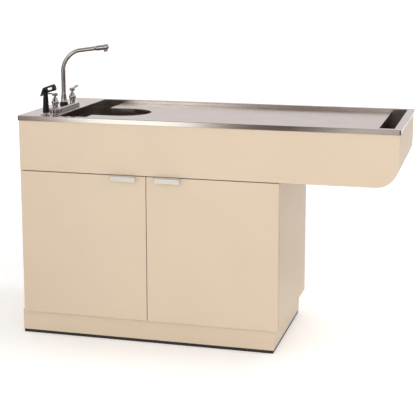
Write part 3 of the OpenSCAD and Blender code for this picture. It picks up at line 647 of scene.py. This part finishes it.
def blade(mesh, place):
    """Adds a flat lever that widens to a round end, along X from its hub."""
    rings = []
    for along, half, thick in LEVER:
        ring = []
        for i in range(BLADE_STEPS):
            turn = 2 * math.pi * i / BLADE_STEPS
            across, up = math.cos(turn), math.sin(turn)
            ring.append(mesh.verts.new(place @ Vector((
                along * MM, half * MM * math.copysign(abs(across) ** BLADE_SQUARE, across),
                (LEVER_MIDDLE + thick / 2 * math.copysign(abs(up) ** BLADE_SQUARE, up)) * MM))))
        rings.append(ring)
    joined(mesh, rings)


def screw(mesh, place, turn):
    """Adds a domed screw head with a cross recess, facing along the turned Z."""
    radius = sizes().screw_head / 2
    there = Matrix.Translation(place) @ turn
    half, reach = CROSS_HALF * radius, CROSS_REACH * radius
    cross = [(reach, half), (half, half), (half, reach), (-half, reach), (-half, half),
             (-reach, half), (-reach, -half), (-half, -half), (-half, -reach), (half, -reach),
             (half, -half), (reach, -half)]
    rings = []
    for share, height in SCREW_DOME:
        rings.append([mesh.verts.new(there @ Vector((
            share * radius * x / math.hypot(x, y), share * radius * y / math.hypot(x, y),
            height * radius))) for x, y in cross])
    for height in CROSS_HEIGHTS:
        rings.append([mesh.verts.new(there @ Vector((x, y, height * radius)))
                      for x, y in cross])
    joined(mesh, rings)


class Dresser(bpy.types.Operator):
    """Base of the operators that dress a group of pieces."""
    bl_options = {"REGISTER", "UNDO"}


class WETTABLE_OT_boards(Dresser):
    """Faces the boards of the cabinet, apron, doors and plinth with laminate."""
    bl_idname = "wet_table.boards"
    bl_label = "Laminate boards"

    def execute(self, context):
        soften_boards("laminate")
        return {"FINISHED"}


class WETTABLE_OT_strips(Dresser):
    """Lays the black strips under the plinth."""
    bl_idname = "wet_table.strips"
    bl_label = "Base strips"

    def execute(self, context):
        soften_boards("base_strip")
        return {"FINISHED"}


class WETTABLE_OT_steel(Dresser):
    """Bends the sheet of the rim, tub and insert and brushes it."""
    bl_idname = "wet_table.steel"
    bl_label = "Stainless top"

    def execute(self, context):
        low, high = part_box("top_rim")
        pan_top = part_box("insert_pan")[1].z

        def on_top(edge, top):
            return all(abs(v.co.z - top) < LEVEL for v in edge.verts)

        def from_outside(edge):
            return [min(v.co.x - low.x, high.x - v.co.x, v.co.y - low.y, high.y - v.co.y)
                    for v in edge.verts]

        def outer_bend(edge):
            return on_top(edge, high.z) and max(from_outside(edge)) < OUTER_BEND

        def inner_bend(edge):
            return on_top(edge, high.z) and min(from_outside(edge)) > INNER_BEND

        def not_upright(edge):
            a, b = (v.co for v in edge.verts)
            return abs(a.z - b.z) <= UPRIGHT

        def pan_bend(edge):
            return on_top(edge, pan_top)

        softened("top_rim", (outer_bend, sizes().bend_radius, 4),
                 (inner_bend, INNER_BEND_WIDTH * sizes().sheet_edge, 3),
                 (not_upright, sizes().sheet_edge, 2))
        softened("insert_pan", (pan_bend, sizes().bend_radius, 4),
                 (everywhere, sizes().sheet_edge, 2))
        for node in ("channel_front", "channel_back"):
            softened(node, (everywhere, sizes().sheet_edge, 2))
        for node in ("tub_sides", "tub_ends", "tub_sump", "tub_slope", "insert_ledges"):
            softened(node, (everywhere, sizes().sheet_edge, 2), finish="tub")
        return {"FINISHED"}


class WETTABLE_OT_hardware(Dresser):
    """Finishes the door pulls, hinges and catches, and drives their screws."""
    bl_idname = "wet_table.hardware"
    bl_label = "Door hardware"

    def execute(self, context):
        for node in ("left_pull", "right_pull"):
            softened(node, (everywhere, PULL_EDGE * sizes().fitting_edge, 3))
        for node in ("left_hinge_cups", "right_hinge_cups", "left_hinge_arms", "right_hinge_arms"):
            softened(node, (everywhere, THIN_EDGE * sizes().fitting_edge, 2))
        softened("door_catches", (everywhere, sizes().fitting_edge, 3))
        inward = Matrix.Rotation(math.radians(-90), 4, "X")
        for side, turn in (("left", 1), ("right", -1)):
            cups_low, cups_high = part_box(side + "_hinge_cups")
            arms_low, arms_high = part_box(side + "_hinge_arms")
            pull_low, pull_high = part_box(side + "_pull")
            door_screws = bmesh.new()
            plate_screws = bmesh.new()
            wing = (cups_high.x if turn > 0 else cups_low.x) - turn * CUP_WING
            plate = (arms_low.x if turn > 0 else arms_high.x) + turn * PLATE_FACE
            sideways = Matrix.Rotation(math.radians(90 * turn), 4, "Y")
            for middle in HINGE_HEIGHTS:
                for up in (-CUP_SCREWS / 2, CUP_SCREWS / 2):
                    screw(door_screws, (wing, cups_high.y, middle + up), inward)
                for up in (-PLATE_SCREWS / 2, PLATE_SCREWS / 2):
                    screw(plate_screws, (plate, PLATE_ROW, middle + up), sideways)
            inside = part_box(side + "_door")[1].y
            for share in PULL_SCREWS:
                screw(door_screws, (pull_low.x + share * (pull_high.x - pull_low.x), inside,
                                    pull_low.z + PULL_SCREW_H), inward)
            dress(piece_from(side + "_door_screws", door_screws), side + "_hinge_cups", False)
            dress(piece_from(side + "_plate_screws", plate_screws), side + "_hinge_arms", False)
        return {"FINISHED"}


class WETTABLE_OT_drain(Dresser):
    """Polishes the strainer, its basket and the trap below the tub."""
    bl_idname = "wet_table.drain"
    bl_label = "Drain"

    def execute(self, context):
        softened("strainer_body", (everywhere, THIN_EDGE * sizes().fitting_edge, 2))
        softened("strainer_nut", (everywhere, sizes().fitting_edge, 2))
        for node in ("strainer_basket", "tailpiece", "trap"):
            softened(node)
        softened("waste_nuts", (everywhere, SLIP_NUT_EDGE * sizes().fitting_edge, 2))
        return {"FINISHED"}


class WETTABLE_OT_valves(Dresser):
    """Turns the bell-shaped valves and shapes their levers, base plate and deck nuts."""
    bl_idname = "wet_table.valves"
    bl_label = "Valves and levers"

    def execute(self, context):
        softened("deck_nuts", (everywhere, sizes().fitting_edge, 2))
        plate_low, plate_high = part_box("faucet_plate")
        radius = (plate_high.x - plate_low.x) / 2
        middle = (plate_low + plate_high) / 2
        half = (plate_high.y - plate_low.y) / 2 - radius
        height = plate_high.z - plate_low.z
        foot = (middle.x, middle.y, plate_low.z)
        slope = SHOULDER_SLOPE * PLATE_SHOULDER
        mesh = bmesh.new()
        stadium(mesh, rounded(((radius, 0), (radius, height - PLATE_SHOULDER),
                               (radius - slope, height - slope),
                               (radius - PLATE_SHOULDER, height), (PLATE_FLAT * radius, height)),
                              PLATE_ROUNDING), half, foot)
        dress(piece_from("faucet_plate_made", mesh), "faucet_plate")
        gasket = bmesh.new()
        lip = radius + GASKET_LIP
        stadium(gasket, rounded(((lip, 0), (lip, GASKET_T), (GASKET_INNER * radius, GASKET_T)),
                                GASKET_ROUNDING), half, foot)
        dress(piece_from("plate_gasket", gasket), "faucet_plate", False, "black_plastic")

        for side, turn in (("hot", -90), ("cold", 90)):
            low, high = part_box(side + "_valve")
            axis = Vector(((low.x + high.x) / 2, (low.y + high.y) / 2, plate_high.z))
            profile = valve_profile(low.z - plate_high.z, high.z - plate_high.z)
            turned_piece(side + "_valve", profile, Matrix.Translation(axis))
            mesh = bmesh.new()
            place = Matrix.Translation((axis.x, axis.y, high.z))
            turned(mesh, rounded(mm(HUB), HUB_ROUNDING), place)
            blade(mesh, place @ Matrix.Rotation(math.radians(turn), 4, "Z")
                  @ Matrix.Translation((0, 0, LEVER_FOOT)) @ Matrix.Rotation(-LEVER_RISE, 4, "Y"))
            dress(piece_from(side + "_handle_made", mesh), side + "_handle")
        return {"FINISHED"}


class WETTABLE_OT_spout(Dresser):
    """Draws the tall bent spout, its cone, ring, swelling end and aerator."""
    bl_idname = "wet_table.spout"
    bl_label = "Spout"

    def execute(self, context):
        low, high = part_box("spout_ring")
        axis = Vector(((low.x + high.x) / 2, (low.y + high.y) / 2, low.z))
        turned_piece("spout_ring", rounded(mm(RING), RING_ROUNDING), Matrix.Translation(axis))

        along = Vector((math.cos(ARM_RISE), 0, math.sin(ARM_RISE)))
        over = Vector((-math.sin(ARM_RISE), 0, math.cos(ARM_RISE)))
        centre = Vector((axis.x + BEND_R, axis.y, RISER_TOP))
        arm = centre + BEND_R * over
        end = arm + ARM_L * along
        path = [(Vector((axis.x, axis.y, axis.z + RING_FLOOR)), Vector((0, 0, 1)))]
        for i in range(BEND_STEPS + 1):
            turn = (math.pi / 2 - ARM_RISE) * i / BEND_STEPS
            path.append((centre + BEND_R * Vector((-math.cos(turn), 0, math.sin(turn))),
                         Vector((math.sin(turn), 0, math.cos(turn)))))
        path.append((end, along))
        mesh = bmesh.new()
        swept(mesh, path, SPOUT_R)
        turned(mesh, rounded(mm(CONE), RING_ROUNDING),
               Matrix.Translation((axis.x, axis.y, high.z)))
        dress(piece_from("spout_made", mesh), "spout")

        turned_piece("nozzle", rounded(mm(NOZZLE), NOZZLE_ROUNDING), pointing(end, along))
        downward = pointing(end + OUTLET_AT * along, -over)
        turned_piece("aerator", rounded(mm(AERATOR), AERATOR_ROUNDING), downward)
        mesh = bmesh.new()
        turned(mesh, mm(SCREEN), downward, SHORT_STEPS)
        dress(piece_from("aerator_screen", mesh), "aerator", False, "nickel_steel")
        return {"FINISHED"}


class WETTABLE_OT_sprayer(Dresser):
    """Moulds the hand sprayer, its spray face, light panel and thumb lever, and turns its holder.
    """
    bl_idname = "wet_table.sprayer"
    bl_label = "Hand sprayer"

    def execute(self, context):
        low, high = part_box("sprayer_holder")
        axis = Vector(((low.x + high.x) / 2, (low.y + high.y) / 2, high.z))
        turned_piece("sprayer_holder", rounded(mm(HOLDER), HOLDER_ROUNDING),
                     Matrix.Translation(axis), closed=True)
        softened("sprayer_body", (everywhere, sizes().fitting_edge, 2))
        softened("sprayer_panel")
        softened("sprayer_lever", (everywhere, THUMB_EDGE * sizes().fitting_edge, 3))

        toward = Vector((math.cos(HEAD_RISE), 0, math.sin(HEAD_RISE)))
        face = pointing(Vector((axis.x, axis.y, HEAD_MIDDLE)) + HEAD_L * toward, toward)
        mesh = bmesh.new()
        turned(mesh, rounded(mm(SPRAY_FACE), FACE_ROUNDING), face)
        for count, radius in JET_RINGS:
            for i in range(count):
                turn = 2 * math.pi * i / count
                place = face @ Matrix.Translation(
                    (radius * math.cos(turn), radius * math.sin(turn), 0))
                turned(mesh, mm(JET), place, SHORT_STEPS)
        dress(piece_from("spray_face", mesh), "sprayer_body", False)
        return {"FINISHED"}


# Stage

# Where the photograph was taken from, how far the view dips and turns left, in degrees, and the
# lens and its frame in millimetres
CAMERA_PLACE = (1.12673, -4.39783, 1.53506)
CAMERA_PITCH = 10.645
CAMERA_YAW = 14.915
CAMERA_LENS = 96.86
CAMERA_FRAME = 36
CAMERA_REACH = 200
# The middle of the photograph lies off its optical axis by this share of its width
CAMERA_SHIFT = -0.096
# Half of the floor's side, and the squares along it
FLOOR_HALF = 40
FLOOR_SQUARES = 8
# Area lights: place, where each looks, side and watts
SOFTBOXES = {
    "key_light": ((0.8, -4.0, 1.6), (0.2, 0, 0.5), 1.8, 46),
    "overhead_light": ((0, 0.5, 6), (0, 0, 0), 6, 40),
    "side_light": ((2.6, 0.4, 3.9), (0.7, 0, 0.8), 1, 42),
}
# Flags lie just over the floor from this radius out to a curved wall of them, of this height
FLAGS_FROM = 1
FLAGS_Z = 0.01
# The last ones, at the far right, start so far off that only the faucet mirrors them
LAST_FLAGS = 416
LAST_FLAGS_FROM = 6.4
WALL_R = 9
WALL_H = 11
# Their brightness at each turn in degrees from +X towards +Y; at the back they are open
WALL_LIGHTS = ((148, 0.35), (165, 0.1), (200, 0.1), (228, 0.14), (236, 0.32), (241.5, 0.3),
               (243.2, 0.48), (246, 1.7), (252.5, 1.7), (254, 1.45), (256.5, 0.7), (258.5, 0.33),
               (261, 0.16), (265, 0.14), (267.5, 0.8), (272, 0.72), (277, 0.4), (292, 0.4),
               (297, 0.14), (345, 0.14), (350, 0.5), (356, 0.5), (362, 0.14), (400, 0.14),
               (412, 0.2), (424, 0.1), (431, 0.1), (433.5, 0.6))
LOW_LIGHTS = ((148, 0.6), (240, 0.5), (244, 2.4), (247, 3.4), (253.3, 3.4), (255.5, 2),
              (257.7, 0.5), (259, 0.3), (263, 0.34), (266, 0.9), (268, 1.2), (292, 0.5),
              (297, 0.3), (345, 0.3), (350, 0.6), (418, 0.6))
HIGHER_LIGHTS = ((148, 1), (190, 1.1), (202, 0.5), (215, 1.2), (232, 1.2), (240, 0.2),
                 (262, 0.2), (270, 1.4), (303, 1.4), (309, 0.8), (340, 0.8), (350, 1.2),
                 (395, 1.2), (402, 1), (418, 1))
TOP_LIGHTS = ((148, 0.9), (215, 0.7), (240, 0.16), (268, 0.16), (300, 0.7), (418, 0.9))
# Each higher row takes over between two heights
ROWS = ((1.2, 1.6, LOW_LIGHTS), (2.7, 3, HIGHER_LIGHTS), (4.8, 5.3, TOP_LIGHTS))
STRONGEST = 3.4
# Tint of a flag that reflects no light, and of a full light
FLAG_TINT = (1, 0.75, 0.66)
LIGHT_TINT = (1, 1.04, 0.98)
# The pale ceiling reaches from just before the table far to the back
CEILING_R = 16
CEILING_BACK = 14
CEILING_GLOW = 0.8
# The air is white up to this sine of the angle over the horizon, and reaches the ceiling's
# brightness at the next
AIR_LEVEL = 0.45
AIR_TOP = 0.85
AIR_WHITE = 1.05
AIR_CEILING = 0.4
# The white floor glows near the table, which keeps its shadow faint, and more from afar; the
# glow grows between these distances from the middle
FLOOR_GLOW = 0.2
FAR_FLOOR_GLOW = 0.5
GLOW_FROM = 1.4
GLOW_TO = 4


def floor_material():
    """Matt white studio floor that takes a soft shadow, with a painted glow that keeps the shadow
    faint near the table and grows from afar.
    """
    made, tree, shader, place = new_material("Studio floor, matt, with painted glow", Roughness=0.9)
    shader.inputs["Specular IOR Level"].default_value = 0.1
    shader.inputs["Emission Color"].default_value = (1, 1, 1, 1)
    from_middle = add_node(tree, "VectorMath", {0: place}, operation="LENGTH")
    glow = add_node(tree, "MapRange", {"Value": from_middle.outputs["Value"],
                                       "From Min": GLOW_FROM, "From Max": GLOW_TO,
                                       "To Min": FLOOR_GLOW, "To Max": FAR_FLOOR_GLOW})
    tree.links.new(glow.outputs["Result"], shader.inputs["Emission Strength"])
    cloud = add_node(tree, "TexNoise", {"Vector": place, "Scale": per(900), "Detail": 2})
    mix = add_node(tree, "Mix", {"Factor": cloud.outputs["Fac"], "A": shade(colours().floor, 0.99),
                                 "B": shade(colours().floor, 1)}, data_type="RGBA")
    tree.links.new(mix.outputs["Result"], shader.inputs["Base Color"])
    return made


def lit(name, strongest):
    """A material that only glows, with its tree, its colour's socket and its place in parts."""
    made = bpy.data.materials.new(name)
    made.use_nodes = True
    tree = made.node_tree
    tree.nodes.clear()
    glow = add_node(tree, "Emission", {"Strength": strongest})
    add_node(tree, "OutputMaterial", {"Surface": glow.outputs["Emission"]})
    apart = add_node(tree, "SeparateXYZ", {"Vector": add_node(tree, "TexCoord").outputs["Object"]})
    return made, tree, glow.inputs["Color"], apart.outputs


def lights_along(tree, value, lights):
    """Brightness that runs from one light to the next as a value goes along them."""
    low, high = lights[0][0], lights[-1][0]
    share = add_node(tree, "MapRange", {"Value": value, "From Min": low, "From Max": high})
    ramp = add_node(tree, "ValToRGB", {"Fac": share.outputs["Result"]})
    points = ramp.color_ramp.elements
    for at, _ in lights[1:-1]:
        points.new((at - low) / (high - low))
    for point, (_, bright) in zip(points, lights):
        dark = 1 - min(1, bright)
        point.color = (*(bright / STRONGEST * (dark * flag + (1 - dark) * light)
                         for flag, light in zip(FLAG_TINT, LIGHT_TINT)), 1)
    return ramp.outputs["Color"]


def only_reflected(piece):
    """Marks a stage piece that shows only in reflections."""
    for kind in ("camera", "diffuse", "shadow", "transmission", "volume_scatter"):
        setattr(piece, "visible_" + kind, False)


def wall_of_lights():
    """Softboxes and flags on the floor and in a curved wall, before and beside the table."""
    first, last = WALL_LIGHTS[0][0], WALL_LIGHTS[-1][0]
    mesh = bmesh.new()
    columns = []
    for i in range(ROUND_STEPS + 1):
        degrees = first + (last - first) * i / ROUND_STEPS
        start = FLAGS_FROM if degrees < LAST_FLAGS else LAST_FLAGS_FROM
        turn = math.radians(degrees)
        columns.append([mesh.verts.new((r * math.cos(turn), r * math.sin(turn), z))
                        for r, z in ((start, FLAGS_Z), (WALL_R, FLAGS_Z), (WALL_R, WALL_H))])
    for one, two in zip(columns, columns[1:]):
        for j in (0, 1):
            mesh.faces.new((one[j], two[j], two[j + 1], one[j + 1]))
    wall = piece_from("wall_of_lights", mesh)

    made, tree, colour, place = lit("Softboxes and flags in a wall", STRONGEST)
    turn = add_node(tree, "Math", {0: place["Y"], 1: place["X"]}, operation="ARCTAN2")
    degrees = add_node(tree, "Math", {0: turn.outputs["Value"], 1: math.degrees(1)},
                       operation="MULTIPLY")
    # Counted from the open back, so that the number doesn't jump on the wall
    whole = add_node(tree, "Math", {0: degrees.outputs["Value"], 1: first + 360, 2: first},
                     operation="WRAP")
    seen = lights_along(tree, whole.outputs["Value"], WALL_LIGHTS)
    for start, end, lights in ROWS:
        above = add_node(tree, "MapRange", {"Value": place["Z"], "From Min": start,
                                            "From Max": end})
        row = lights_along(tree, whole.outputs["Value"], lights)
        mix = add_node(tree, "Mix", {"Factor": above.outputs["Result"], "A": seen, "B": row},
                       data_type="RGBA")
        seen = mix.outputs["Result"]
    tree.links.new(seen, colour)
    wall.data.materials.append(made)
    only_reflected(wall)


def pale_ceiling():
    """Disc of even light over the table and behind it."""
    mesh = bmesh.new()
    bmesh.ops.create_circle(mesh, cap_ends=True, segments=ROUND_STEPS, radius=CEILING_R)
    bmesh.ops.translate(mesh, verts=mesh.verts, vec=(0, CEILING_BACK, WALL_H))
    ceiling = piece_from("pale_ceiling", mesh)
    made, _, colour, _ = lit("Pale ceiling", CEILING_GLOW)
    colour.default_value = (1, 1, 1, 1)
    ceiling.data.materials.append(made)
    only_reflected(ceiling)


def softbox(name, place, target, size, power):
    """Square area light that looks at a point."""
    data = bpy.data.lights.new(name, "AREA")
    data.shape = "SQUARE"
    data.size = size
    data.energy = power
    made = bpy.data.objects.new(name, data)
    bpy.context.scene.collection.objects.link(made)
    made.location = place
    made.rotation_euler = (Vector(target) - Vector(place)).to_track_quat("-Z", "Y").to_euler()
    # Reflections show the wall of lights instead
    made.visible_glossy = False


class WETTABLE_OT_stage(Dresser):
    """Sets the pale floor, the soft light and the camera."""
    bl_idname = "wet_table.stage"
    bl_label = "Stage"

    def execute(self, context):
        scene = context.scene
        scene.view_settings.view_transform = "Standard"
        scene.view_settings.look = "None"
        eye = bpy.data.cameras.new("photograph_view")
        eye.lens = CAMERA_LENS
        eye.sensor_width = CAMERA_FRAME
        eye.shift_y = CAMERA_SHIFT
        eye.clip_end = CAMERA_REACH
        camera = bpy.data.objects.new("photograph_view", eye)
        scene.collection.objects.link(camera)
        camera.location = CAMERA_PLACE
        camera.rotation_euler = (math.radians(90 - CAMERA_PITCH), 0, math.radians(CAMERA_YAW))
        scene.camera = camera

        mesh = bmesh.new()
        bmesh.ops.create_grid(mesh, x_segments=FLOOR_SQUARES, y_segments=FLOOR_SQUARES,
                              size=FLOOR_HALF)
        floor = piece_from("studio_floor", mesh)
        floor.data.materials.append(floor_material())
        wall_of_lights()
        pale_ceiling()

        world = bpy.data.worlds.new("studio_air")
        world.use_nodes = True
        tree = world.node_tree
        direction = add_node(tree, "TexCoord").outputs["Generated"]
        up = add_node(tree, "SeparateXYZ", {"Vector": direction})
        falling = add_node(tree, "MapRange", {"Value": up.outputs["Z"], "From Min": AIR_LEVEL,
                                              "From Max": AIR_TOP, "To Min": AIR_WHITE,
                                              "To Max": AIR_CEILING})
        tree.links.new(falling.outputs["Result"], tree.nodes["Background"].inputs["Strength"])
        tree.nodes["Background"].inputs["Color"].default_value = (1, 1, 1, 1)
        scene.world = world
        for name, settings in SOFTBOXES.items():
            softbox(name, *settings)
        return {"FINISHED"}


STEPS = (WETTABLE_OT_boards, WETTABLE_OT_strips, WETTABLE_OT_steel, WETTABLE_OT_hardware,
         WETTABLE_OT_drain, WETTABLE_OT_valves, WETTABLE_OT_spout, WETTABLE_OT_sprayer,
         WETTABLE_OT_stage)


class WETTABLE_PT_panel(bpy.types.Panel):
    """Lists the colours, sizes and steps of the wet table."""
    bl_label = "Wet Table"
    bl_idname = "WETTABLE_PT_panel"
    bl_space_type = "VIEW_3D"
    bl_region_type = "UI"
    bl_category = "Wet Table"

    def draw(self, context):
        for group in (context.scene.wet_table_colours, context.scene.wet_table_sizes):
            for name in group.bl_rna.properties.keys():
                if name not in ("rna_type", "name"):
                    self.layout.prop(group, name)
        for step in STEPS:
            self.layout.operator(step.bl_idname)


CLASSES = (WetTableColours, WetTableSizes, *STEPS, WETTABLE_PT_panel)


def register():
    for made in CLASSES:
        bpy.utils.register_class(made)
    bpy.types.Scene.wet_table_colours = bpy.props.PointerProperty(type=WetTableColours)
    bpy.types.Scene.wet_table_sizes = bpy.props.PointerProperty(type=WetTableSizes)


def unregister():
    del bpy.types.Scene.wet_table_sizes
    del bpy.types.Scene.wet_table_colours
    for made in reversed(CLASSES):
        bpy.utils.unregister_class(made)


def main():
    register()
    for step in STEPS:
        family, name = step.bl_idname.split(".")
        getattr(getattr(bpy.ops, family), name)()


if __name__ == "__main__":
    main()
